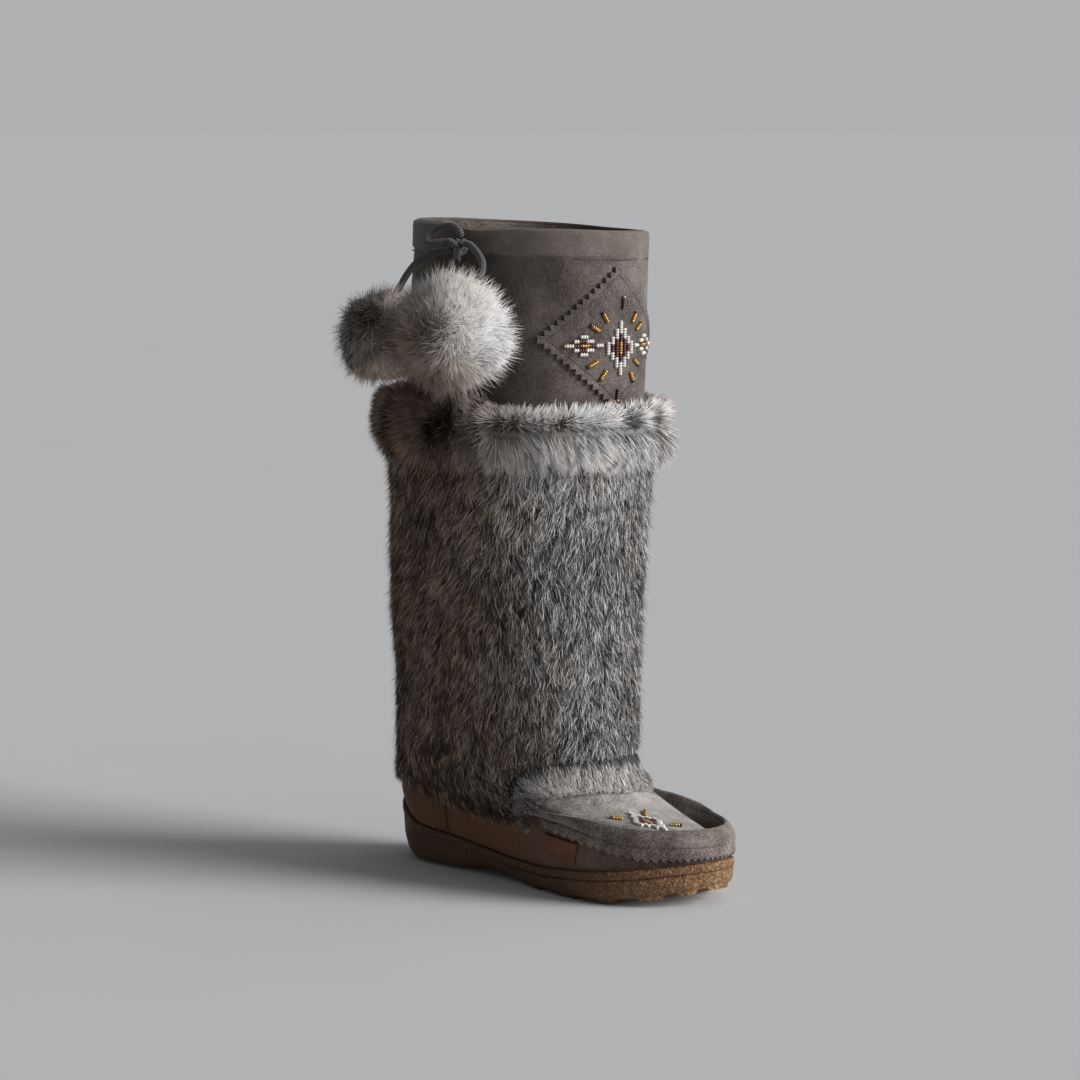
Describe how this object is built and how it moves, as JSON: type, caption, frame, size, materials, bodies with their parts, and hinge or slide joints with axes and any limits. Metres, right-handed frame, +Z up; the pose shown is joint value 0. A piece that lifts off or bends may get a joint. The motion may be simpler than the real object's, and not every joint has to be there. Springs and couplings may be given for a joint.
{
  "type": "mukluk boot",
  "caption": "Right mukluk boot with a hollow suede upper, wide shaft, fur sleeve and rolled cuff, moccasin toe, lugged rubber sole and two pompoms on a drawcord.",
  "frame": {"origin": "on the floor, on the flat lug under the heel, on the boot's middle line", "axes": "+X towards the toe, +Y towards the inner (medial) side, +Z up along the shaft"},
  "size_m": [0.2707, 0.2361, 0.4234],
  "materials": {
    "crumb_rubber": "matt crumb rubber, golden brown",
    "grey_suede": "grey-taupe suede",
    "footbed_felt": "felt",
    "agouti_fur": "combed grey and brown fur",
    "pale_fur": "pale grey fur",
    "dark_fur": "dark brown fur",
    "tan_leather": "smooth brown leather",
    "charcoal_braid": "round charcoal braid"
  },
  "bodies": {
    "root": {"outsole": "crumb_rubber", "upper": "grey_suede", "insole": "footbed_felt", "toe_band": "grey_suede", "vamp_plug": "grey_suede", "heel_counter": "grey_suede", "fur_sleeve": "agouti_fur", "fur_cuff": "agouti_fur", "instep_fur": "agouti_fur", "collar_patch": "grey_suede", "side_label": "tan_leather", "pompom_front": "pale_fur", "pompom_back": "dark_fur", "drawcord_knot": "charcoal_braid", "drawcord_front": "charcoal_braid", "drawcord_back": "charcoal_braid", "drawcord_loop": "charcoal_braid", "drawcord_tip": "charcoal_braid"}
  },
  "joints": []
}
